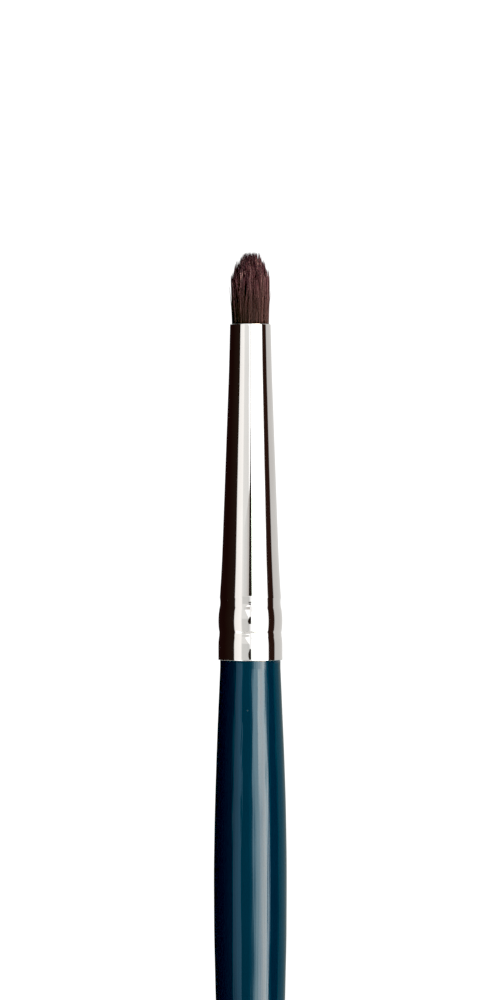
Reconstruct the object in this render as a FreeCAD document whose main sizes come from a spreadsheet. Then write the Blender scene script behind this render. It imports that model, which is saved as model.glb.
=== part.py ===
import FreeCAD, Part

import math
import os

import Sketcher

# A round brush: short domed hair in a long conical ferrule, on a turned and lacquered handle.
# It stands on the centre of its handle's end, with +Z along its axis towards the hair.
# Heights run up from the handle's end, and depths run down from the ferrule's mouth.
DIMENSIONS = {
    # handle, over its lacquer
    "handle_length": 115.4,
    "neck_radius": 4.42,
    "neck_length": 1.2,
    "belly_top_height": 102.2,
    "belly_top_radius": 4.93,
    "belly_arc": 500,
    "belly_foot_height": 58.5,
    "belly_foot_radius": 4.796,
    "tail_height": 1.73,
    "tail_radius": 2.15,
    "lacquer_thickness": 0.1,
    # ferrule, outside
    "ferrule_length": 49.05,
    "ferrule_wall": 0.25,
    "band_radius": 4.682,
    "band_depth": 47.05,
    "shoulder_arc": 8.5,
    "lower_crimp_foot_depth": 45.6,
    "lower_crimp_foot_radius": 4.557,
    "lower_crimp_top_depth": 44.85,
    "lower_crimp_top_radius": 4.54,
    "bead_arc": 11.0,
    "upper_crimp_foot_depth": 41.1,
    "upper_crimp_foot_radius": 4.5,
    "upper_crimp_top_depth": 39.6,
    "upper_crimp_top_radius": 4.46,
    "crimp_arc": 4.0,
    "flare_depth": 31.85,
    "flare_radius": 4.052,
    "flare_arc": 230,
    "taper_depth": 7.35,
    "taper_radius": 3.155,
    "mouth_radius": 2.97,
    "mouth_round": 0.12,
    # tenon
    "glue_thickness": 0.1,
    "tenon_chamfer": 0.6,
    # hair
    "hair_length": 10.6,
    "tuft_gap": 0.05,
    "tuft_foot_radius": 2.7,
    "tuft_side_length": 7.75,
    "tuft_side_radius": 2.55,
    "tuft_side_arc": 36,
    "root_clearance": 0.03,
    "root_radius": 2.75,
    "root_length": 13.0,
    # thread and resin round the hair's root
    "thread_pitch": 0.2,
    "thread_arc": 0.103,
    "thread_foot_depth": 11.9,
    "resin_top_depth": 8.0,
    "resin_foot_depth": 17.0,
}
THREAD_TURNS = 6

os.makedirs("parts", exist_ok=True)
doc = FreeCAD.newDocument("round_brush")
sheet = doc.addObject("Spreadsheet::Sheet", "sizes")
for row, (alias, value) in enumerate(DIMENSIONS.items(), start=1):
    sheet.set(f"A{row}", alias)
    sheet.set(f"B{row}", str(value))
    sheet.setAlias(f"B{row}", alias)
doc.recompute()


class Size:
    """A size in millimetres, kept with the sheet's expression for it."""

    def __init__(self, value, text):
        self.value = value
        self.text = text

    def __add__(self, other):
        return Size(self.value + other.value, f"({self.text} + {other.text})")

    def __sub__(self, other):
        return Size(self.value - other.value, f"({self.text} - {other.text})")

    def __mul__(self, other):
        return Size(self.value * other.value, f"({self.text} * {other.text})")

    def __truediv__(self, other):
        return Size(self.value / other.value, f"({self.text} / {other.text})")


def cell(alias):
    """The size in the sheet's cell of this name."""
    return Size(float(sheet.get(alias)), f"sizes.{alias}")


def plain(number):
    """A bare number, for use beside sizes."""
    return Size(float(number), str(number))


class Corner:
    """A corner of an outline, at a radius and a height.

    The stretch from it to the next corner is straight, or an arc of the radius given as swell,
    which bulges out of the material, or as hollow, which bites into it.
    """

    def __init__(self, radius, height, swell=None, hollow=None):
        self.radius = radius
        self.height = height
        self.swell = swell
        self.hollow = hollow
        self.arc = swell or hollow
        self.point = FreeCAD.Vector(radius.value, height.value, 0)

    def inward(self, distance):
        """The same corner, nearer to the axis."""
        return Corner(self.radius - distance, self.height, self.swell, self.hollow)


def turned_back(corners):
    """The same stretches, run the other way, with the material on their other side."""
    first, *rest = corners
    back = [
        Corner(corner.radius, corner.height, swell=before.hollow, hollow=before.swell)
        for before, corner in zip(corners, rest)
    ]
    return [*reversed(back), Corner(first.radius, first.height)]


def stretch(corner, after):
    """The line or arc from a corner to the next. Arcs are drawn anticlockwise, so a hollow one
    starts at its far end."""
    if corner.arc is None:
        return Part.LineSegment(corner.point, after.point)
    start, end = (corner, after) if corner.swell else (after, corner)
    chord = end.point - start.point
    half = chord.Length / 2
    rise = corner.arc.value - math.sqrt(corner.arc.value**2 - half**2)
    outward = FreeCAD.Vector(chord.y, -chord.x, 0).normalize()
    middle = (start.point + end.point) * 0.5 + outward * rise
    return Part.Arc(start.point, middle, end.point)


def hold_point(sketch, kind, axis, geometry, end, distance):
    """Holds one end of a stretch on an axis, or at a distance that the sheet gives."""
    if distance.value == 0:
        sketch.addConstraint(Sketcher.Constraint("PointOnObject", geometry, end, axis))
        return
    index = sketch.addConstraint(
        Sketcher.Constraint(kind, -1, 1, geometry, end, distance.value)
    )
    sketch.setExpression(f"Constraints[{index}]", distance.text)


def turned(name, corners):
    """A body turned about the brush's axis from a closed outline, which runs anticlockwise."""
    body = doc.addObject("PartDesign::Body", name)
    body.Label = name
    plane = next(item for item in body.Origin.OriginFeatures if item.Role == "XZ_Plane")
    sketch = body.newObject("Sketcher::SketchObject", f"{name}_outline")
    sketch.AttachmentSupport = [(plane, "")]
    sketch.MapMode = "FlatFace"
    for corner, after in zip(corners, corners[1:] + corners[:1]):
        sketch.addGeometry(stretch(corner, after))
    for index, corner in enumerate(corners):
        previous = (index - 1) % len(corners)
        start = 2 if corner.hollow else 1
        joined = 1 if corners[previous].hollow else 2
        sketch.addConstraint(
            Sketcher.Constraint("Coincident", previous, joined, index, start)
        )
        hold_point(sketch, "DistanceX", -2, index, start, corner.radius)
        hold_point(sketch, "DistanceY", -1, index, start, corner.height)
        if corner.arc is not None:
            held = sketch.addConstraint(
                Sketcher.Constraint("Radius", index, corner.arc.value)
            )
            sketch.setExpression(f"Constraints[{held}]", corner.arc.text)
    turn = body.newObject("PartDesign::Revolution", f"{name}_turn")
    turn.Profile = sketch
    turn.ReferenceAxis = (sketch, ["V_Axis"])
    turn.Angle = 360
    return body


AXIS = plain(0)
handle_top = cell("handle_length")
mouth = handle_top + cell("ferrule_length")
wall = cell("ferrule_wall")


def below_mouth(alias):
    """The height of a depth below the ferrule's mouth."""
    return mouth - cell(alias)


def dome_arc(radius, rise):
    """The arc that reaches a radius after a rise, and meets the axis squarely."""
    return (radius * radius + rise * rise) / (rise * plain(2))


def handle_side(skin):
    """The handle's side from its rounded end up to the ferrule, a skin's thickness inside."""
    tail_radius = cell("tail_radius") - skin
    tail_height = cell("tail_height")
    return [
        Corner(AXIS, skin, swell=dome_arc(tail_radius, tail_height - skin)),
        Corner(tail_radius, tail_height),
        Corner(
            cell("belly_foot_radius") - skin,
            cell("belly_foot_height"),
            swell=cell("belly_arc"),
        ),
        Corner(cell("belly_top_radius") - skin, cell("belly_top_height")),
        Corner(cell("neck_radius") - skin, handle_top - cell("neck_length")),
        Corner(cell("neck_radius") - skin, handle_top),
    ]


def crimped_side():
    """The ferrule's outside over the tenon, from its foot up to the top of the flare."""
    return [
        Corner(cell("band_radius"), handle_top),
        Corner(
            cell("band_radius"), below_mouth("band_depth"), swell=cell("shoulder_arc")
        ),
        Corner(
            cell("lower_crimp_foot_radius"),
            below_mouth("lower_crimp_foot_depth"),
            hollow=cell("crimp_arc"),
        ),
        Corner(
            cell("lower_crimp_top_radius"),
            below_mouth("lower_crimp_top_depth"),
            swell=cell("bead_arc"),
        ),
        Corner(
            cell("upper_crimp_foot_radius"),
            below_mouth("upper_crimp_foot_depth"),
            hollow=cell("crimp_arc"),
        ),
        Corner(
            cell("upper_crimp_top_radius"),
            below_mouth("upper_crimp_top_depth"),
            hollow=cell("flare_arc"),
        ),
        Corner(cell("flare_radius"), below_mouth("flare_depth")),
    ]


def inside_radius(depth):
    """The ferrule's inside radius at a depth on its long taper."""
    slope = (cell("flare_radius") - cell("taper_radius")) / (
        cell("flare_depth") - cell("taper_depth")
    )
    return cell("taper_radius") - wall + (depth - cell("taper_depth")) * slope


def thread_side():
    """The wound thread's outside from its foot up, a small arc for each turn."""
    foot = below_mouth("thread_foot_depth")
    pitch = cell("thread_pitch")
    middle = cell("root_radius") + pitch / plain(2)
    top = foot + pitch * plain(THREAD_TURNS)
    turns = [
        Corner(middle, foot + pitch * plain(turn), swell=cell("thread_arc"))
        for turn in range(THREAD_TURNS)
    ]
    return [
        Corner(cell("root_radius"), foot),
        *turns,
        Corner(middle, top),
        Corner(cell("root_radius"), top),
    ]


def make_lacquer_coat():
    """The dipped lacquer: a thin skin round the handle, open only at the ferrule."""
    outside = handle_side(AXIS)
    inside = turned_back(handle_side(cell("lacquer_thickness")))
    return turned("lacquer_coat", outside + inside)


def make_handle_core():
    """The turned wood, with its tenon held by the ferrule's crimps."""
    inset = wall + cell("glue_thickness")
    tenon = [corner.inward(inset) for corner in crimped_side()]
    top = tenon[-1]
    chamfer = cell("tenon_chamfer")
    end = [
        Corner(top.radius - chamfer, top.height + chamfer),
        Corner(AXIS, top.height + chamfer),
    ]
    return turned("handle_core", handle_side(cell("lacquer_thickness")) + tenon + end)


def make_tenon_glue():
    """The glue between the tenon and the ferrule."""
    outside = [corner.inward(wall) for corner in crimped_side()]
    inside = [corner.inward(cell("glue_thickness")) for corner in outside]
    return turned("tenon_glue", outside + turned_back(inside))


def make_ferrule():
    """The seamless tube: band, two crimps with a bead between them, flare, taper and mouth."""
    edge = cell("mouth_round")
    outside = crimped_side() + [
        Corner(cell("taper_radius"), below_mouth("taper_depth")),
        Corner(cell("mouth_radius"), mouth - edge, swell=edge),
        Corner(cell("mouth_radius") - edge, mouth),
    ]
    inside = [corner.inward(wall) for corner in crimped_side()] + [
        Corner(cell("taper_radius") - wall, below_mouth("taper_depth")),
        Corner(cell("mouth_radius") - wall, mouth),
    ]
    return turned("ferrule", outside + turned_back(inside))


def make_hair_root():
    """The hair inside the ferrule, packed and bound."""
    mouth_side = cell("mouth_radius") - wall - cell("root_clearance")
    foot = mouth - cell("root_length")
    return turned(
        "hair_root",
        [
            Corner(AXIS, foot),
            Corner(cell("root_radius"), foot),
            Corner(cell("root_radius"), below_mouth("resin_top_depth")),
            Corner(mouth_side, mouth),
            Corner(AXIS, mouth),
        ],
    )


def make_binding_thread():
    """The thread round the root, its turns side by side."""
    return turned("binding_thread", thread_side())


def make_root_resin():
    """The plug of resin that sets the root and its thread in the ferrule."""
    foot_depth = cell("resin_foot_depth")
    top_depth = cell("resin_top_depth")
    root_foot = mouth - cell("root_length")
    outside = [
        Corner(AXIS, mouth - foot_depth),
        Corner(inside_radius(foot_depth), mouth - foot_depth),
        Corner(inside_radius(top_depth), mouth - top_depth),
        Corner(cell("root_radius"), mouth - top_depth),
    ]
    seat = [
        Corner(cell("root_radius"), root_foot),
        Corner(AXIS, root_foot),
    ]
    return turned("root_resin", outside + turned_back(thread_side()) + seat)


def make_hair_tuft():
    """The free hair as one plain solid, slightly full at its side and domed at its end."""
    foot = mouth + cell("tuft_gap")
    side_radius = cell("tuft_side_radius")
    dome = dome_arc(side_radius, cell("hair_length") - cell("tuft_side_length"))
    return turned(
        "hair_tuft",
        [
            Corner(AXIS, foot),
            Corner(cell("tuft_foot_radius"), foot, swell=cell("tuft_side_arc")),
            Corner(side_radius, mouth + cell("tuft_side_length"), swell=dome),
            Corner(AXIS, mouth + cell("hair_length")),
        ],
    )


pieces = [
    make_handle_core(),
    make_lacquer_coat(),
    make_tenon_glue(),
    make_ferrule(),
    make_hair_root(),
    make_binding_thread(),
    make_root_resin(),
    make_hair_tuft(),
]
doc.recompute()

for item in doc.Objects:
    if "Invalid" in item.State or "Error" in item.State:
        raise RuntimeError(f"{item.Label} could not be made: {item.State}")
for piece in pieces:
    shape = piece.Shape
    if shape.isNull() or not shape.isValid() or len(shape.Solids) != 1:
        raise RuntimeError(f"{piece.Label} is not one valid solid")
    print(piece.Label, round(shape.Volume, 2), "mm3")
for piece in pieces:
    piece.Shape.exportStep(f"parts/{piece.Label}.step")
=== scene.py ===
import math

import bpy
import numpy as np
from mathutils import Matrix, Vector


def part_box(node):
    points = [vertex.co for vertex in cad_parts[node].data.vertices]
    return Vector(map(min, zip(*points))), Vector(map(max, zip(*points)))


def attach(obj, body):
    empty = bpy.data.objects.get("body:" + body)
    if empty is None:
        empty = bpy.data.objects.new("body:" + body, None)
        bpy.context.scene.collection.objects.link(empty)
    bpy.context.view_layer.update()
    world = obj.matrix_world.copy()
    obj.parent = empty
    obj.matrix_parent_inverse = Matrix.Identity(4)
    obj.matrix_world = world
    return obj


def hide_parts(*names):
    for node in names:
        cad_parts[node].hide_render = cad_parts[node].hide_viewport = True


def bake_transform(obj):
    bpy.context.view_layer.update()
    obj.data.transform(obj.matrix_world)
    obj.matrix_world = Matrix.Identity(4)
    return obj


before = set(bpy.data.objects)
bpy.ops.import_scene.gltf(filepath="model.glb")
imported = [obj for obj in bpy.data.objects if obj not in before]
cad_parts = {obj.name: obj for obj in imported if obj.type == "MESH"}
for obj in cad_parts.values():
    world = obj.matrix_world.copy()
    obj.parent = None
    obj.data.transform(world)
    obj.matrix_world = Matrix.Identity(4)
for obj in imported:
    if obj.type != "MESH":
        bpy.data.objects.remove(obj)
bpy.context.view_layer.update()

# A round domed brush: hair, bright conical ferrule and lacquered handle, standing on a pale
# floor in a soft white studio. Lengths are in millimetres until they go into a mesh, radii
# are from the brush's axis, and depths run down from the ferrule's mouth.
MM = 0.001
HELD = "handle_and_ferrule"
scene = bpy.context.scene
dice = np.random.default_rng(2719)

HANDLE_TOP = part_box("lacquer_coat")[1].z / MM
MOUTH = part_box("ferrule")[1].z / MM
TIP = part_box("hair_tuft")[1].z / MM
ON_AXIS = 1e-6


# ---------------------------------------------------------------- outlines and turned meshes

def run(corners, step):
    """Points along an outline of (radius, height, bend) corners, about a step apart.

    bend is the radius of the arc to the next corner, above 0 where it bulges to the right of
    the way along the outline and below 0 where it hollows. 0 is straight.
    """
    points = []
    for (r0, z0, bend), (r1, z1, _) in zip(corners, corners[1:]):
        start, end = np.array([r0, z0]), np.array([r1, z1])
        chord = end - start
        length = np.hypot(*chord)
        pieces = max(1, math.ceil(length / step))
        along = np.arange(pieces) / pieces
        line = start + along[:, None] * chord
        if bend:
            rise = abs(bend) - math.sqrt(bend**2 - length**2 / 4)
            centre_way = (along - 0.5) * length
            swell = np.sqrt(bend**2 - centre_way**2) - abs(bend) + rise
            right = np.array([chord[1], -chord[0]]) / length
            line = line + swell[:, None] * right * math.copysign(1, bend)
        points.append(line)
    points.append([corners[-1][:2]])
    return np.concatenate(points)


def rounded(points, reach):
    """The same line with its corners softened over a reach, its two ends kept."""
    gaps = np.hypot(*np.diff(points, axis=0).T)
    way = np.concatenate([[0], np.cumsum(gaps)])
    weights = np.exp(-(((way[:, None] - way[None, :]) / reach) ** 2) / 2)
    weights *= np.gradient(way)[None, :]
    soft = weights @ points / weights.sum(1, keepdims=True)
    near_end = np.minimum(way, way[-1] - way) / (3 * reach)
    keep = np.clip(near_end, 0, 1)[:, None]
    return points * (1 - keep) + soft * keep


def placed(name, mesh):
    """A mesh as an object in the scene."""
    piece = bpy.data.objects.new(name, mesh)
    scene.collection.objects.link(piece)
    return piece


def turned(name, profile, sides, loop=False, ripple=None):
    """A mesh turned about the brush's axis from (radius, height) points.

    A point on the axis makes a pole. With loop, the last ring joins the first. ripple gives
    the offset along the radius at an angle and a height.
    """
    angle = np.arange(sides) * (2 * math.pi / sides)
    vertices, rings = [], []
    for radius, height in profile:
        first = len(vertices)
        if radius < ON_AXIS:
            vertices.append((0.0, 0.0, height))
            rings.append([first] * sides)
            continue
        reach = radius + (ripple(angle, height) if ripple else 0 * angle)
        vertices += zip(reach * np.cos(angle), reach * np.sin(angle), [height] * sides)
        rings.append(range(first, first + sides))
    faces = []
    pairs = list(zip(rings, rings[1:])) + ([(rings[-1], rings[0])] if loop else [])
    for low, high in pairs:
        for side in range(sides):
            beside = (side + 1) % sides
            corners = (low[side], low[beside], high[beside], high[side])
            faces.append(tuple(dict.fromkeys(corners)))
    mesh = bpy.data.meshes.new(name)
    mesh.from_pydata(np.array(vertices) * MM, [], faces)
    mesh.shade_smooth()
    mesh.validate()
    return placed(name, mesh)


def ripples(count, size, shortest, longest, most_lobes):
    """A gentle unevenness round and along a surface, as a sum of random waves."""
    lobes = dice.integers(1, most_lobes + 1, count)
    rate = 2 * math.pi / dice.uniform(shortest, longest, count)
    rate *= dice.choice([-1, 1], count)
    phase = dice.uniform(0, 2 * math.pi, count)

    def offset(angle, height):
        waves = np.cos(np.outer(angle, lobes) + rate * height + phase)
        return waves.sum(1) * size / math.sqrt(count)

    return offset


# ---------------------------------------------------------------- shader helpers

class Nodes:
    """Short ways to add shader nodes to a node tree."""

    def __init__(self, tree):
        self.tree = tree

    def node(self, kind, **settings):
        made = self.tree.nodes.new("ShaderNode" + kind)
        for key, value in settings.items():
            setattr(made, key, value)
        return made

    def join(self, source, target):
        self.tree.links.new(source, target)

    def feed(self, source, target):
        """Gives an input another node's output, a colour or a number."""
        if isinstance(source, bpy.types.NodeSocket):
            self.join(source, target)
        else:
            target.default_value = (*source, 1) if isinstance(source, tuple) else source

    def ramp(self, source, stops):
        """A colour ramp over a value. stops are (place, colour or grey)."""
        made = self.node("ValToRGB")
        elements = made.color_ramp.elements
        while len(elements) < len(stops):
            elements.new(0.5)
        for element, (position, colour) in zip(elements, stops):
            element.position = position
            element.color = (*colour, 1) if isinstance(colour, tuple) else (colour,) * 3 + (1,)
        self.feed(source, made.inputs["Fac"])
        return made.outputs["Color"]

    def mix(self, kind, amount, first, second):
        """Two colours mixed, added or multiplied by an amount."""
        made = self.node("Mix", data_type="RGBA", blend_type=kind)
        for socket, value in zip(("Factor", "A", "B"), (amount, first, second)):
            self.feed(value, next(i for i in made.inputs if i.name == socket and i.enabled))
        return next(o for o in made.outputs if o.enabled)

    def calc(self, kind, *inputs, clamp=False):
        """A Math node over sockets and numbers."""
        made = self.node("Math", operation=kind, use_clamp=clamp)
        for socket, value in zip(made.inputs, inputs):
            self.feed(value, socket)
        return made.outputs[0]

    def scaled(self, colour, level):
        """A colour times a level, which may be above 1."""
        made = self.node("VectorMath", operation="SCALE")
        self.feed(colour, made.inputs[0])
        self.feed(level, made.inputs["Scale"])
        return made.outputs[0]


class Shader(Nodes):
    """A material with one Principled shader."""

    def __init__(self, name, **values):
        self.material = bpy.data.materials.new(name)
        self.material.use_nodes = True
        super().__init__(self.material.node_tree)
        self.main = self.tree.nodes["Principled BSDF"]
        for socket, value in values.items():
            self.main.inputs[socket.replace("_", " ")].default_value = value
        self.place = self.node("TexCoord").outputs["Object"]

    def stretched(self, scale):
        """Object coordinates, scaled apart along X, Y and Z."""
        mapping = self.node("Mapping")
        mapping.inputs["Scale"].default_value = scale
        self.join(self.place, mapping.inputs["Vector"])
        return mapping.outputs[0]

    def noise(self, scale, detail, where=None):
        made = self.node("TexNoise")
        made.inputs["Scale"].default_value = scale
        made.inputs["Detail"].default_value = detail
        self.join(where or self.place, made.inputs["Vector"])
        return made.outputs["Fac"]

    def cells(self, scale, where=None):
        """The distance from the nearest of some scattered points."""
        made = self.node("TexVoronoi", feature="F1")
        made.inputs["Scale"].default_value = scale
        self.join(where or self.place, made.inputs["Vector"])
        return made.outputs["Distance"]

    def span(self, source, low, high):
        """A value from 0 to 1 mapped on to a range."""
        made = self.node("MapRange")
        made.inputs["To Min"].default_value = low
        made.inputs["To Max"].default_value = high
        self.join(source, made.inputs["Value"])
        return made.outputs["Result"]

    def bump(self, height, distance, under=None):
        made = self.node("Bump")
        made.inputs["Distance"].default_value = distance
        self.join(height, made.inputs["Height"])
        if under is not None:
            self.join(under, made.inputs["Normal"])
        return made.outputs["Normal"]

    def colour(self, source):
        self.join(source, self.main.inputs["Base Color"])

    def roughness(self, source):
        self.join(source, self.main.inputs["Roughness"])

    def normal(self, source):
        self.join(source, self.main.inputs["Normal"])


def wear(piece, shader):
    """Gives a piece its one material."""
    piece.data.materials.clear()
    piece.data.materials.append(shader.material)


# ---------------------------------------------------------------- materials
# Noise scales are in cycles a metre, and bump distances in metres.

def nickel():
    """Bright plate over drawn brass: faint drawing lines, and a haze that varies a little."""
    made = Shader("bright_nickel", Metallic=1.0)
    lines = made.noise(900, 2, made.stretched((1, 1, 0.02)))
    haze = made.noise(90, 4)
    made.colour(made.ramp(haze, [(0.3, (0.69, 0.675, 0.66)), (0.7, (0.73, 0.72, 0.705))]))
    made.roughness(made.span(haze, 0.035, 0.075))
    made.normal(made.bump(lines, 0.0000012))
    return made


def lacquer():
    """Dipped gloss lacquer, deep teal blue: streaks, a soft orange peel and specks of dust."""
    made = Shader(
        "blue_lacquer",
        Coat_Weight=0.28,
        Coat_Roughness=0.04,
        Specular_IOR_Level=0.15,
        Specular_Tint=(0.08, 0.45, 1.0, 1),
    )
    depth = made.noise(140, 4)
    made.colour(
        made.ramp(depth, [(0.3, (0.0006, 0.0075, 0.0193)), (0.7, (0.0008, 0.0085, 0.0211))])
    )
    made.roughness(made.span(depth, 0.05, 0.08))
    peel = made.noise(420, 2, made.stretched((1, 1, 0.45)))
    streaks = made.noise(2000, 2, made.stretched((1, 1, 0.015)))
    skin = made.bump(streaks, 0.00003, under=made.bump(peel, 0.0000035))
    specks = made.ramp(made.cells(170), [(0.0, 1.0), (0.03, 0.0)])
    made.normal(skin)
    made.join(made.bump(specks, 0.00004, under=skin), made.main.inputs["Coat Normal"])
    return made


def hair():
    """Dark red-brown hair, its tone set hair by hair, with painted shade darkening each hair
    towards its root.
    """
    made = Shader("brown_hair", Specular_IOR_Level=0.15)
    tone = made.node("Attribute", attribute_name="tone").outputs["Fac"]
    along = made.node("Attribute", attribute_name="along").outputs["Fac"]
    shades = made.ramp(
        tone,
        [
            (0.0, (0.034, 0.0065, 0.0175)),
            (0.4, (0.060, 0.0205, 0.0300)),
            (0.75, (0.120, 0.057, 0.070)),
            (1.0, (0.29, 0.172, 0.188)),
        ],
    )
    # Painted shade: each hair is darkened towards its root. This stands in for the ferrule mouth
    # and the packed tuft shading the hair's foot, and for the light from above on the tips. It is
    # partly the hair's own lighter tips.
    fade = made.ramp(
        along,
        [
            (0.0, (0.30, 0.235, 0.235)),
            (0.3, (0.41, 0.335, 0.325)),
            (0.65, (0.62, 0.56, 0.56)),
            (0.9, (1.0, 1.0, 1.0)),
        ],
    )
    made.colour(made.mix("MULTIPLY", 1.0, shades, fade))
    scales = made.noise(9000, 2, made.stretched((1, 1, 0.15)))
    made.roughness(made.span(scales, 0.42, 0.58))
    made.normal(made.bump(scales, 0.000002))
    return made


def bound_hair():
    """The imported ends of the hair, seen end on or inside the ferrule."""
    made = Shader("bound_hair", Roughness=0.6)
    ends = made.cells(9000, made.stretched((1, 1, 0.03)))
    made.colour(made.ramp(ends, [(0.0, (0.09, 0.05, 0.045)), (0.8, (0.01, 0.006, 0.006))]))
    made.normal(made.bump(ends, 0.00001))
    return made


def wood():
    """Pale close-grained turned wood, its grain along the handle."""
    made = Shader("pale_wood", Specular_IOR_Level=0.3)
    grain = made.noise(700, 5, made.stretched((1, 1, 0.05)))
    bands = made.noise(120, 2, made.stretched((1, 1, 0.02)))
    tint = made.ramp(grain, [(0.3, (0.46, 0.31, 0.17)), (0.7, (0.66, 0.49, 0.31))])
    shade = made.ramp(bands, [(0.3, 0.82), (0.7, 1.0)])
    made.colour(made.mix("MULTIPLY", 1.0, tint, shade))
    made.roughness(made.span(grain, 0.5, 0.7))
    made.normal(made.bump(grain, 0.00001))
    return made


def glue():
    """Dried cream-coloured glue."""
    made = Shader("dry_glue")
    lumps = made.noise(1200, 4)
    made.colour(made.ramp(lumps, [(0.3, (0.62, 0.52, 0.30)), (0.7, (0.74, 0.66, 0.44))]))
    made.roughness(made.span(lumps, 0.4, 0.6))
    made.normal(made.bump(lumps, 0.00001))
    return made


def resin():
    """Amber epoxy."""
    made = Shader("amber_resin", Coat_Weight=0.5)
    clouds = made.noise(500, 3)
    made.colour(made.ramp(clouds, [(0.3, (0.30, 0.16, 0.05)), (0.7, (0.46, 0.27, 0.09))]))
    made.roughness(made.span(clouds, 0.15, 0.3))
    return made


def thread():
    """Waxed cotton thread, its fibres laid round the knot."""
    made = Shader("waxed_thread")
    fibres = made.noise(3000, 3, made.stretched((1, 1, 6)))
    made.colour(made.ramp(fibres, [(0.3, (0.52, 0.47, 0.38)), (0.7, (0.74, 0.70, 0.60))]))
    made.roughness(made.span(fibres, 0.6, 0.85))
    made.normal(made.bump(fibres, 0.00001))
    return made


# ---------------------------------------------------------------- ferrule and handle

SIDES = 144
WALL = 0.25
LIP = 0.12
CRIMP_ARC, BEAD_ARC, FLARE_ARC, SHOULDER_ARC = 4.0, 11.0, 230, 7.5
MOUTH_RADIUS = 2.97
TAPER_RADIUS, TAPER_DEPTH = 3.155, 7.35
FLARE_RADIUS, FLARE_DEPTH = 4.052, 31.85
FLARE_FOOT = (4.475, MOUTH - 39.95, -FLARE_ARC)


def crimped_side():
    """The ferrule's outside from its foot up: band, lower crimp, bead and upper crimp."""
    return [
        (4.674, HANDLE_TOP, 0.008),
        (4.682, HANDLE_TOP + 0.008, 0),
        (4.684, MOUTH - 47.3, 30),
        (4.676, MOUTH - 46.7, SHOULDER_ARC),
        (4.565, MOUTH - 45.6, 0),
        (4.553, MOUTH - 45.25, 0),
        (4.528, MOUTH - 45.12, 0),
        (4.528, MOUTH - 45.07, 0),
        (4.553, MOUTH - 44.95, 0),
        (4.596, MOUTH - 44.72, BEAD_ARC),
        (4.530, MOUTH - 41.6, 0),
        (4.475, MOUTH - 41.33, 0),
        (4.457, MOUTH - 41.25, -CRIMP_ARC),
        FLARE_FOOT,
    ]


def long_side():
    """The ferrule's outside above the crimps: flare, long taper and mouth."""
    return [
        FLARE_FOOT,
        (FLARE_RADIUS, MOUTH - FLARE_DEPTH, 0),
        (TAPER_RADIUS, MOUTH - TAPER_DEPTH, 0),
        (MOUTH_RADIUS, MOUTH - LIP, 0),
    ]


def make_ferrule():
    """The bright tube, with softly rolled crimps and a turned-in mouth."""
    crimps = rounded(run(crimped_side(), step=0.04), reach=0.05)
    taper = rounded(run(long_side(), step=0.3), reach=0.8)
    lip = run(
        [
            (MOUTH_RADIUS, MOUTH - LIP, LIP),
            (MOUTH_RADIUS - LIP, MOUTH, LIP),
            (MOUTH_RADIUS - 2 * LIP, MOUTH - LIP, 0),
        ],
        step=0.02,
    )
    inside = [
        (MOUTH_RADIUS - WALL, MOUTH - 0.2),
        (TAPER_RADIUS - WALL, MOUTH - TAPER_DEPTH),
        (FLARE_RADIUS - WALL, MOUTH - FLARE_DEPTH),
        (4.20, MOUTH - 39.6),
        (4.43, HANDLE_TOP),
    ]
    profile = np.concatenate([crimps, taper[1:], lip[1:], inside])
    uneven = ripples(7, size=0.0012, shortest=4, longest=18, most_lobes=4)
    piece = turned("bright_ferrule", profile, SIDES, loop=True, ripple=uneven)
    wear(piece, nickel())
    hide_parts("ferrule")
    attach(piece, HELD)


LACQUER = 0.085
NECK_RADIUS, NECK_FOOT, NECK_EDGE = 4.42, HANDLE_TOP - 1.2, 0.12
BELLY_TOP_RADIUS, BELLY_TOP = 4.93, 102.2
BELLY_FOOT_RADIUS, BELLY_FOOT, BELLY_ARC = 4.796, 58.5, 500
TAIL_RADIUS, TAIL_TOP, TAIL_ARC = 2.15, 1.73, 2.2


def handle_outside():
    """The lacquered handle's outside in three stretches: rounded end, long side and neck."""
    tail = (TAIL_RADIUS, TAIL_TOP, 0)
    neck = (NECK_RADIUS, NECK_FOOT, 0)
    side = [
        tail,
        (BELLY_FOOT_RADIUS, BELLY_FOOT, BELLY_ARC),
        (BELLY_TOP_RADIUS, BELLY_TOP, 0),
        neck,
    ]
    rim = [(NECK_RADIUS, HANDLE_TOP - NECK_EDGE, NECK_EDGE), (4.34, HANDLE_TOP, 0)]
    return [(0, 0, TAIL_ARC), tail], side, [neck] + rim


def make_lacquer():
    """The lacquer's skin, with the gentle unevenness of a dipped coat."""
    end, side, neck = handle_outside()
    end = run(end, step=0.08)
    side = rounded(run(side, step=0.5), reach=2.5)
    neck = rounded(run(neck, step=0.03), reach=0.03)
    inside = [
        (NECK_RADIUS - 0.1, NECK_FOOT),
        (BELLY_TOP_RADIUS - LACQUER, BELLY_TOP),
        (5.24, 80.0),
        (BELLY_FOOT_RADIUS - LACQUER, BELLY_FOOT),
        (TAIL_RADIUS - LACQUER, TAIL_TOP + 0.03),
        (1.2, 0.5),
        (0, LACQUER),
    ]
    profile = np.concatenate([end[:-1], side[:-1], neck, inside])
    uneven = ripples(24, size=0.0075, shortest=6, longest=30, most_lobes=9)
    piece = turned("lacquered_handle", profile, SIDES, ripple=uneven)
    wear(piece, lacquer())
    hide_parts("lacquer_coat")
    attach(piece, HELD)


# ---------------------------------------------------------------- hair
# LEAN, BOW, SWING and TONE_SPREAD are the spreads of normal draws, first for a whole lock and
# then for one hair in it. LEAN, BOW and FLARE are in parts of the tuft's radius, and SWING is
# in radians about the axis. Heights are above the mouth.

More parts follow.
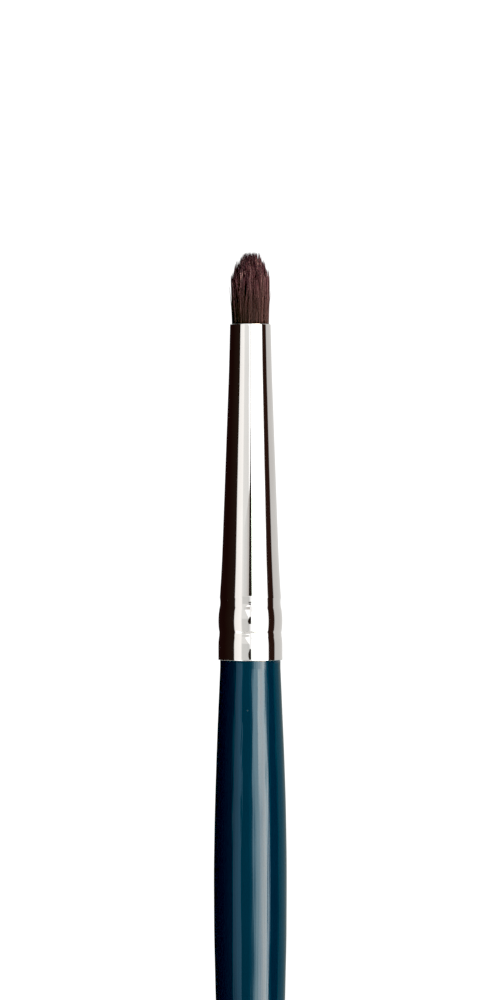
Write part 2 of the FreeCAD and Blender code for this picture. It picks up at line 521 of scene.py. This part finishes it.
HAIRS = 3200
LOCKS = 330
ROOT_DEPTH = 0.35
JOINTS = 11
JOINT_CROWDING = 0.9
END_SPREAD = 0.32
END_DROP = 0.22
END_SLANT = 0.12
TIP_ROOM = 0.15
GATHER = (0.55, 0.95)
GATHER_POWER = 2.2
LEAN = (0.045, 0.012)
BOW = (0.02, 0.016)
SWING = (0.24, 0.06)
FLARE = 0.11
TONE = 0.36
TONE_SPREAD = (0.22, 0.20)
THICKNESS = (0.036, 0.052)
HAIR_TAPER = 0.7
OUTER = 0.68
STRAYS = 34
STRAY_ENDS = (3.5, 9.3)
STRAY_SPLAY = (0.05, 0.30)
STRAY_TURN = 0.06
STRAY_TONE = (0.5, 0.2)
LEFT_STRAYS = [(3.05, 5.5, 0.34), (3.2, 6.0, 0.42), (3.33, 4.9, 0.22)]
DOME_FOOT, DOME_RISE, DOME_NARROWING = 7.0, 4, 0.75


def envelope(height):
    """The tuft's radius at a height above the mouth, before its hairs end."""
    heights = [-1, 0, 0.6, 2.4, 3.9, 5.9, 7.1, 8.3, 10.6]
    radii = [2.64, 2.66, 2.68, 2.74, 2.80, 2.74, 2.66, 2.52, 2.35]
    return np.interp(height, heights, radii)


def ending(out):
    """How high the hair reaches, by how far out from the axis it stands."""
    places = [0, 0.3, 0.45, 0.6, 0.72, 0.85, 0.94, 1]
    heights = [10.64, 10.6, 10.4, 9.88, 9.3, 8.45, 7.7, 7.0]
    return np.interp(out, places, heights)


def sunflower(count, jitter):
    """Points spread evenly over the unit disc."""
    number = np.arange(count)
    radius = np.sqrt((number + 0.5) / count)
    angle = number * math.pi * (3 - math.sqrt(5))
    spread = dice.normal(0, jitter / math.sqrt(count), (count, 2))
    points = np.stack([radius * np.cos(angle), radius * np.sin(angle)], 1) + spread
    return points / np.maximum(1, np.hypot(*points.T))[:, None]


def swung(points, angle):
    """Points turned about the axis, each by its own angle."""
    x, y = points[..., 0], points[..., 1]
    return np.stack(
        [x * np.cos(angle) - y * np.sin(angle), x * np.sin(angle) + y * np.cos(angle)], -1
    )


def scatter(lock, spread, *parts):
    """Random draws for each hair: its lock's draw plus its own."""
    shared = dice.normal(0, spread[0], (LOCKS, *parts))[lock]
    return shared + dice.normal(0, spread[1], (HAIRS, *parts))


def hair_tops(lock, middles):
    """The height above the mouth where each hair ends, lock by lock."""
    lock_top = ending(np.hypot(*middles.T)) + dice.normal(0, END_SPREAD, LOCKS)
    lock_top += END_SLANT * middles[:, 0]
    top = lock_top[lock] - dice.exponential(END_DROP, HAIRS)
    return np.minimum(top, TIP - MOUTH - dice.uniform(0, TIP_ROOM, HAIRS))


def hair_paths():
    """Centre lines, with each hair's tone and how far out it starts.

    The hairs gather in small locks, each with its own length and lean, and their tips draw
    together into the lock's point.
    """
    start = sunflower(HAIRS, jitter=0.5)
    middles = sunflower(LOCKS, jitter=0.8)
    lock = np.argmin(((start[:, None] - middles[None]) ** 2).sum(2), 1)
    middle = middles[lock]
    top = hair_tops(lock, middles)
    along = np.linspace(0, 1, JOINTS) ** JOINT_CROWDING
    height = -ROOT_DEPTH + along[None] * (top + ROOT_DEPTH)[:, None]
    climb = np.clip(height / (TIP - MOUTH), 0, 1)
    own = np.clip(height / top[:, None], 0, 1)
    pull = dice.uniform(*GATHER, HAIRS)[:, None] * own**GATHER_POWER
    lean = scatter(lock, LEAN, 2)
    bow = scatter(lock, BOW, 2)
    where = start[:, None] + (middle - start)[:, None] * pull[..., None]
    where = where + lean[:, None] * climb[..., None] ** 2
    where = where + bow[:, None] * np.sin(climb * math.pi)[..., None]
    flare = dice.uniform(0, FLARE, LOCKS)[lock][:, None] * own**4
    where = where + middle[:, None] * flare[..., None]
    where = swung(where, scatter(lock, SWING)[:, None] * own**2)
    reach = np.hypot(where[..., 0], where[..., 1])
    where = where / np.maximum(1, reach / (1 + flare))[..., None]
    where = where * envelope(height)[..., None]
    tone = dice.normal(TONE, TONE_SPREAD[1], HAIRS)
    tone += dice.normal(0, TONE_SPREAD[0], LOCKS)[lock]
    paths = np.concatenate([where, height[..., None] + MOUTH], 2)
    return paths, np.clip(tone, 0, 1), np.hypot(*start.T)


def stray_paths():
    """A few hairs that stand out of the tuft's side and dome, three of them at its left.

    LEFT_STRAYS gives the angle, the end's height and the splay of those three.
    """
    fixed = len(LEFT_STRAYS)
    angle = dice.uniform(0, 2 * math.pi, STRAYS)
    end = dice.uniform(*STRAY_ENDS, STRAYS)
    along = np.linspace(0, 1, JOINTS)
    splay = dice.uniform(*STRAY_SPLAY, STRAYS)
    angle[:fixed], end[:fixed], splay[:fixed] = zip(*LEFT_STRAYS)
    height = -ROOT_DEPTH + along[None] * (end + ROOT_DEPTH)[:, None]
    narrow = np.clip((end - DOME_FOOT) / DOME_RISE, 0, 1)[:, None] * along[None] ** 2
    reach = envelope(height) * (1 - DOME_NARROWING * narrow)
    reach += splay[:, None] * along[None] ** 3
    turn = angle[:, None] + dice.normal(0, STRAY_TURN, STRAYS)[:, None] * along[None]
    spots = [reach * np.cos(turn), reach * np.sin(turn), height + MOUTH]
    return np.stack(spots, 2), np.clip(dice.normal(*STRAY_TONE, STRAYS), 0, 1)


def strand_points(paths, thickness, sides):
    """Each hair's points: a ring at each joint but the last, and its tip."""
    count, joints, _ = paths.shape
    taper = 1 - HAIR_TAPER * np.linspace(0, 1, joints)[:-1] ** 3
    heading = np.gradient(paths, axis=1)
    heading /= np.linalg.norm(heading, axis=2, keepdims=True)
    across = np.cross(heading, [0.0, 1.0, 0.0])
    across /= np.linalg.norm(across, axis=2, keepdims=True)
    beside = np.cross(heading, across)
    spin = dice.uniform(0, 2 * math.pi, count)[:, None]
    angle = spin + np.arange(sides)[None] * (2 * math.pi / sides)
    round_about = (
        np.cos(angle)[:, None, :, None] * across[:, :-1, None]
        + np.sin(angle)[:, None, :, None] * beside[:, :-1, None]
    )
    radius = thickness[:, None] * taper[None]
    rings = paths[:, :-1, None] + round_about * radius[:, :, None, None]
    return np.concatenate([rings.reshape(count, -1, 3), paths[:, -1:]], 1)


def strand_faces(joints, sides):
    """One hair's faces: quads between its rings, a pointed tip and a closed foot."""
    quads, points = [], []
    last = (joints - 2) * sides
    tip = last + sides
    for side in range(sides):
        after = (side + 1) % sides
        for low in range(0, last, sides):
            high = low + sides
            quads.append((low + side, low + after, high + after, high + side))
        points.append((last + side, last + after, tip))
    foot = tuple(reversed(range(sides)))
    return quads + points + [foot]


def repeated_mesh(name, points, faces):
    """One mesh of many like shapes: points has a row of them for each shape."""
    count, size, _ = points.shape
    mesh = bpy.data.meshes.new(name)
    mesh.vertices.add(count * size)
    mesh.vertices.foreach_set("co", (points * MM).astype(np.float32).ravel())
    corners = (np.concatenate(faces)[None] + np.arange(count)[:, None] * size).ravel()
    mesh.loops.add(len(corners))
    mesh.loops.foreach_set("vertex_index", corners.astype(np.int32))
    totals = np.tile([len(face) for face in faces], count)
    mesh.polygons.add(len(totals))
    starts = np.concatenate([[0], np.cumsum(totals)[:-1]])
    mesh.polygons.foreach_set("loop_start", starts.astype(np.int32))
    mesh.update(calc_edges=True)
    mesh.validate()
    mesh.shade_smooth()
    return mesh


def filaments(name, paths, tone, thickness, sides):
    """One mesh of tapering hairs along the paths, closed at both ends."""
    count, joints, _ = paths.shape
    points = strand_points(paths, thickness, sides)
    mesh = repeated_mesh(name, points, strand_faces(joints, sides))
    along = np.append(np.repeat(np.linspace(0, 1, joints)[:-1], sides), 1.0)
    values = {"tone": np.repeat(tone, points.shape[1]), "along": np.tile(along, count)}
    for title, numbers in values.items():
        kept = mesh.attributes.new(title, "FLOAT", "POINT")
        kept.data.foreach_set("value", numbers.astype(np.float32))
    return placed(name, mesh)


def make_hair():
    """The free hair: a packed inside, a denser outside and a few strays."""
    paths, tone, out = hair_paths()
    strays, stray_tone = stray_paths()
    outer = out > OUTER
    shader = hair()
    groups = [
        ("hair_inside", paths[~outer], tone[~outer], 3),
        ("hair_outside", paths[outer], tone[outer], 4),
        ("hair_strays", strays, stray_tone, 4),
    ]
    for name, lines, tones, sides in groups:
        thickness = dice.uniform(*THICKNESS, len(lines))
        piece = filaments(name, lines, tones, thickness, sides)
        wear(piece, shader)
        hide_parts("hair_tuft")
        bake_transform(piece)


# ---------------------------------------------------------------- camera and floor

VIEW_HEIGHT = 138.75
VIEW_DISTANCE = 580
VIEW_SPAN = 146.3
VIEW_ASIDE = -0.06
SENSOR = 36
NEAREST = 10
FLOOR_RADIUS = 300


def make_camera():
    """A level camera, its frame as tall as VIEW_SPAN at the brush."""
    camera = bpy.data.cameras.new("camera")
    camera.sensor_width = SENSOR
    camera.lens = SENSOR * VIEW_DISTANCE / VIEW_SPAN
    camera.clip_start = NEAREST * MM
    holder = bpy.data.objects.new("camera", camera)
    holder.location = (VIEW_ASIDE * MM, -VIEW_DISTANCE * MM, VIEW_HEIGHT * MM)
    holder.rotation_euler = (math.pi / 2, 0, 0)
    scene.collection.objects.link(holder)
    scene.camera = holder


def make_floor():
    """A plain pale disc."""
    floor = turned("floor", [(0, 0), (FLOOR_RADIUS / 2, 0), (FLOOR_RADIUS, 0)], sides=96)
    wear(floor, Shader("pale_floor", Base_Color=(0.8, 0.8, 0.8, 1), Roughness=0.9))


# ---------------------------------------------------------------- cards
# A card stands upright across the view at the place along Y that its ..._AT gives. Its
# outline is (x, z) points. LEVELS are (x, colour of its light) across a card.

SEAM_CARD_AT = -7
SEAM_CARD = [
    (-0.52, 125.05),
    (0.5, 125.05),
    (0.52, 138.9),
    (0.33, 142),
    (0.22, 144.8),
    (0.14, 149.5),
    (0.06, 149.5),
    (-0.03, 144.8),
    (-0.13, 142),
    (-0.33, 138.9),
    (-0.43, 132.9),
]
CRIMP_CARD_AT = -5.2
CRIMP_CARDS = [
    [(-0.35, 123.62), (0.14, 123.62), (0.14, 123.72), (-0.35, 123.72)],
    [(-0.35, 123.78), (0.14, 123.78), (0.14, 123.88), (-0.35, 123.88)],
]
BEAD_CARD_AT = -7
BEAD_CARD = [
    (-0.5, 120.55),
    (0.17, 120.55),
    (0.22, 121.2),
    (0.2, 121.6),
    (0.15, 122.05),
    (-0.22, 122.05),
    (-0.5, 121.6),
    (-0.76, 121.2),
    (-0.72, 120.9),
]
BAND_CARD_AT = -7
BAND_CARD = [
    (-0.32, 115.45),
    (0.22, 115.45),
    (0.18, 117.05),
    (-0.2, 117.05),
    (-0.38, 116.7),
    (-0.6, 116.4),
    (-0.58, 115.9),
]
MOUTH_CARD_AT = -12
MOUTH_CARD = [(-24, 143), (-17.9, 143.2), (-16.8, 152.1), (-16.3, 166.5), (-16.3, 170), (-24, 170)]
FLAG_AT = -25
FLAG = [(-45, 150), (-3.5, 150), (-3.5, 171), (-45, 171)]
PANEL_CARD_AT = -12.2
PANEL_CARD = [(-5, 125.5), (-0.3, 125.5), (-0.3, 141.5), (-2.2, 138.5), (-5, 135)]
PANEL_LEVELS = [
    (-5, (1.00, 0.99, 0.98)),
    (-4.75, (0.945, 0.94, 0.93)),
    (-3.2, (0.905, 0.90, 0.88)),
    (-2.4, (0.83, 0.81, 0.79)),
    (-1.6, (0.735, 0.69, 0.67)),
    (-1.0, (0.70, 0.65, 0.62)),
]
STRIPE_CARD_AT = -14
STRIPE_CARD = [(-17.5, -20), (-6.5, -20), (-6.5, 114.6), (-17.5, 114.6)]
STRIPE_LEVELS = [
    (-17.5, (2.0, 1.7, 1.7)),
    (-14.7, (2.1, 1.9, 2.0)),
    (-10.6, (2.5, 2.65, 2.7)),
    (-8.1, (2.7, 3.2, 3.3)),
    (-6.5, (2.8, 3.35, 3.45)),
]
SIDE_CARD_AT = -11.5
SIDE_CARD = [(-2.1, -20), (40, -20), (40, 114.6), (-2.1, 114.6)]
SIDE_LEVELS = [
    (-0.7, (0.54, 0.70, 0.72)),
    (2.4, (0.42, 0.60, 0.70)),
    (4.9, (0.39, 0.53, 0.55)),
    (9.1, (0.38, 0.43, 0.41)),
]
BACK_LIGHT_AT = 290
BACK_LIGHT = [(-150, 20), (150, 20), (150, 400), (-150, 400)]
BACK_LIGHT_LEVEL = 4.0
BLACK = (0, 0, 0, 1)
LEVEL_MOST = 4.0


def glowing(name, levels):
    """A card's light, changing along its width."""
    made = Shader(name, Base_Color=BLACK, Specular_IOR_Level=0, Emission_Strength=LEVEL_MOST)
    across = made.node("SeparateXYZ")
    made.join(made.place, across.inputs[0])
    first, last = levels[0][0], levels[-1][0]
    part = made.node("MapRange")
    part.inputs["From Min"].default_value = first * MM
    part.inputs["From Max"].default_value = last * MM
    made.join(across.outputs["X"], part.inputs["Value"])
    stops = []
    for place, level in levels:
        stops.append(((place - first) / (last - first), tuple(c / LEVEL_MOST for c in level)))
    made.join(made.ramp(part.outputs["Result"], stops), made.main.inputs["Emission Color"])
    return made


def hang_card(name, outline, at, made, reflected=True):
    """An upright stage card, hidden from the camera.

    It shows in reflections only, or else it only lights and shades dull surfaces.
    """
    mesh = bpy.data.meshes.new(name)
    points = [(x * MM, at * MM, z * MM) for x, z in outline]
    mesh.from_pydata(points, [], [tuple(range(len(points)))])
    card = placed(name, mesh)
    wear(card, made)
    card.visible_camera = False
    card.visible_glossy = reflected
    card.visible_diffuse = not reflected
    card.visible_shadow = not reflected
    return card


def make_dark_cards():
    """The dark seam, ticks and blobs that the ferrule reflects, and a flag for the hair."""
    dark = Shader(
        "dark_card",
        Base_Color=BLACK,
        Specular_IOR_Level=0,
        Emission_Color=(0.041, 0.021, 0.023, 1),
        Emission_Strength=1.0,
    )
    hang_card("seam_card", SEAM_CARD, SEAM_CARD_AT, dark)
    hang_card("bead_card", BEAD_CARD, BEAD_CARD_AT, dark)
    hang_card("band_card", BAND_CARD, BAND_CARD_AT, dark)
    hang_card("mouth_card", MOUTH_CARD, MOUTH_CARD_AT, dark)
    for number, outline in enumerate(CRIMP_CARDS):
        hang_card(f"crimp_card_{number}", outline, CRIMP_CARD_AT, dark)
    hang_card("hair_flag", FLAG, FLAG_AT, dark, reflected=False)


def make_light_cards():
    """The soft panel and stripes that the ferrule and lacquer reflect, and a light behind."""
    hang_card("panel_card", PANEL_CARD, PANEL_CARD_AT, glowing("panel_card", PANEL_LEVELS))
    hang_card("stripe_card", STRIPE_CARD, STRIPE_CARD_AT, glowing("stripe_card", STRIPE_LEVELS))
    back = Shader(
        "back_light",
        Base_Color=BLACK,
        Emission_Color=(1, 0.98, 0.95, 1),
        Emission_Strength=BACK_LIGHT_LEVEL,
    )
    hang_card("back_light", BACK_LIGHT, BACK_LIGHT_AT, back, reflected=False)
    side = hang_card("side_card", SIDE_CARD, SIDE_CARD_AT, glowing("side_card", SIDE_LEVELS))
    side.rotation_euler.z = math.pi / 2


# ---------------------------------------------------------------- studio
# The studio round the brush. WALLS, WINDOW and WINDOW_TOP give the light by the angle to the
# right of the camera, in degrees: the white walls with dark flags at both sides, and the
# bright window at the right, low and high. PANEL and CORNER give the parts of the turn where
# the panel left of the camera and the grey corner behind it are. Other angles are heights.

WALLS = [
    (-180, (0.0342, 0.013, 0.018)),
    (-110, (0.0342, 0.013, 0.018)),
    (-61.8, (0.043, 0.021, 0.0235)),
    (-59.4, (1.20, 1.17, 1.14)),
    (-34.5, (1.36, 1.33, 1.30)),
    (-31.3, (1.05, 1.04, 1.02)),
    (-14, (1.02, 1.01, 0.99)),
    (-3.5, (0.95, 0.94, 0.93)),
    (-1.5, (1.27, 1.27, 1.27)),
    (4, (1.27, 1.27, 1.27)),
    (8, (1.5, 1.5, 1.5)),
    (58, (1.9, 1.9, 1.9)),
    (67, (1.8, 1.8, 1.8)),
    (70, (0.049, 0.019, 0.022)),
    (96.5, (0.049, 0.019, 0.022)),
    (99.5, (0.76, 0.735, 0.72)),
    (180, (0.84, 0.82, 0.80)),
]
WALL_MOST = 2.0
WINDOW = [
    (5, (0, 0, 0)),
    (9, (1.9, 2.7, 2.2)),
    (14, (6.0, 6.7, 5.5)),
    (18.5, (8.9, 9.1, 6.8)),
    (23, (11.5, 11.0, 8.2)),
    (32.5, (16.5, 14.1, 10.7)),
    (42, (22.2, 17.2, 11.8)),
    (47, (27.0, 20.5, 13.9)),
    (52.5, (26.6, 21.4, 15.3)),
    (57.5, (16.0, 15.0, 11.2)),
    (60.5, (3.5, 3.5, 3.5)),
    (64, (0, 0, 0)),
]
WINDOW_TOP = [
    (5, (0, 0, 0)),
    (9, (5.6, 6.8, 5.5)),
    (12, (9.5, 10.2, 8.1)),
    (24, (10.3, 10.2, 7.7)),
    (28, (19.3, 17.0, 12.5)),
    (32, (26.6, 21.7, 15.1)),
    (40, (24.8, 18.5, 12.9)),
    (47, (24.5, 19.4, 13.8)),
    (52.5, (22.4, 19.8, 14.5)),
    (56, (12.0, 11.5, 8.4)),
    (60, (2.0, 3.0, 2.5)),
    (64, (0, 0, 0)),
]
WINDOW_MOST = 28.0
WINDOW_MIDDLE, WINDOW_REACH, WINDOW_FADE = -3, 17, 4
WINDOW_TOP_AT, WINDOW_TOP_FADE = -2.5, 3.5
PANEL = [(-31.3, 0), (-30.3, 1), (-3.5, 1), (-1.5, 0)]
PANEL_LOW, PANEL_LOW_AT, PANEL_LOW_FADE = 0.82, 3.1, 0.5
WEDGE, WEDGE_SLOPE, WEDGE_AT, WEDGE_FADE = 1.6, 0.87, -1.94, 1
CORNER = [(-180, 1), (-150, 1), (-138, 0), (180, 0)]
CORNER_LEVEL, CORNER_MIDDLE, CORNER_REACH, CORNER_FADE = 0.7, 2, 11, 4
ROOF, ROOF_AT = 1.2, 50
GROUND, GROUND_AT = 0.8, -50
STEEP_FADE = 20
BACKDROP = 1.1
BLACK_LEVEL = (0.016, 0.007, 0.011)


def past(sky, angle, start, fade):
    """0 at a start angle, rising to 1 over a fade, which is below 0 to go downwards.

    start and fade are in degrees, and angle is a socket in radians.
    """
    gone = sky.calc("SUBTRACT", angle, math.radians(start))
    return sky.calc("DIVIDE", gone, math.radians(fade), clamp=True)


def away(sky, height, middle):
    """How far a height is from a middle one, up or down."""
    apart = sky.calc("SUBTRACT", height, math.radians(middle))
    return sky.calc("ABSOLUTE", apart)


def turn_ramp(sky, turn, stops, most=1.0):
    """A ramp over the whole turn round the brush, its levels as parts of the most."""
    parts = []
    for angle, level in stops:
        part = tuple(c / most for c in level) if isinstance(level, tuple) else level
        parts.append((angle / 360 + 0.5, part))
    return sky.ramp(turn, parts)


def grey(level):
    return (level, level, level)


def wall_light(sky, turn, azimuth, height):
    """The walls, with the panel's dimmer foot and bright slanted top, and the corner."""
    walls = turn_ramp(sky, turn, WALLS, WALL_MOST)
    panel = turn_ramp(sky, turn, PANEL)
    low = past(sky, height, PANEL_LOW_AT, -PANEL_LOW_FADE)
    low = sky.calc("MULTIPLY", low, panel)
    walls = sky.mix("MIX", low, walls, sky.scaled(walls, PANEL_LOW))
    slope = sky.calc("MULTIPLY_ADD", azimuth, WEDGE_SLOPE, height)
    wedge = past(sky, slope, WEDGE_AT, WEDGE_FADE)
    wedge = sky.calc("MULTIPLY", wedge, panel)
    walls = sky.mix("MIX", wedge, walls, grey(WEDGE / WALL_MOST))
    beyond = past(sky, away(sky, height, CORNER_MIDDLE), CORNER_REACH, CORNER_FADE)
    corner = sky.calc("MULTIPLY", beyond, turn_ramp(sky, turn, CORNER))
    walls = sky.mix("MIX", corner, walls, grey(CORNER_LEVEL / WALL_MOST))
    return sky.scaled(walls, WALL_MOST)


def window_light(sky, turn, height):
    """The window, its upper part lit otherwise than its lower part."""
    window = turn_ramp(sky, turn, WINDOW, WINDOW_MOST)
    window_top = turn_ramp(sky, turn, WINDOW_TOP, WINDOW_MOST)
    above = past(sky, height, WINDOW_TOP_AT, WINDOW_TOP_FADE)
    window = sky.mix("MIX", above, window, window_top)
    inside = past(sky, away(sky, height, WINDOW_MIDDLE), WINDOW_REACH, -WINDOW_FADE)
    return sky.scaled(window, sky.calc("MULTIPLY", inside, WINDOW_MOST))


def make_studio():
    """Soft white walls, dark flags at both sides, one bright window and a white top."""
    world = bpy.data.worlds.new("studio")
    scene.world = world
    world.use_nodes = True
    world.node_tree.nodes.clear()
    sky = Nodes(world.node_tree)
    split = sky.node("SeparateXYZ")
    sky.join(sky.node("TexCoord").outputs["Generated"], split.inputs[0])
    x, y, z = split.outputs
    azimuth = sky.calc("ARCTAN2", x, sky.calc("MULTIPLY", y, -1.0))
    turn = sky.calc("MULTIPLY_ADD", azimuth, 0.5 / math.pi, 0.5)
    height = sky.calc("ARCSINE", z)
    walls = wall_light(sky, turn, azimuth, height)
    around = sky.mix("ADD", 1.0, walls, window_light(sky, turn, height))
    up = past(sky, height, ROOF_AT, STEEP_FADE)
    around = sky.mix("MIX", up, around, grey(ROOF))
    down = past(sky, height, GROUND_AT, -STEEP_FADE)
    around = sky.mix("MIX", down, around, grey(GROUND))
    light = sky.node("Background")
    sky.join(around, light.inputs["Color"])
    plain = sky.node("Background")
    plain.inputs["Color"].default_value = (*grey(BACKDROP), 1)
    both = sky.node("MixShader")
    sky.join(sky.node("LightPath").outputs["Is Camera Ray"], both.inputs[0])
    sky.join(light.outputs[0], both.inputs[1])
    sky.join(plain.outputs[0], both.inputs[2])
    sky.join(both.outputs[0], sky.node("OutputWorld").inputs["Surface"])


def develop():
    """Plain colours, with the darkest tones drawn down to black."""
    settings = scene.view_settings
    settings.view_transform = "Standard"
    settings.use_curve_mapping = True
    settings.curve_mapping.black_level = BLACK_LEVEL
    settings.curve_mapping.update()


# ---------------------------------------------------------------- the whole

make_camera()
make_ferrule()
make_lacquer()
make_hair()
inner = {
    "handle_core": wood(),
    "tenon_glue": glue(),
    "hair_root": bound_hair(),
    "binding_thread": thread(),
    "root_resin": resin(),
}
for node, shader in inner.items():
    wear(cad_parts[node], shader)
make_floor()
make_dark_cards()
make_light_cards()
make_studio()
develop()

bpy.context.view_layer.update()
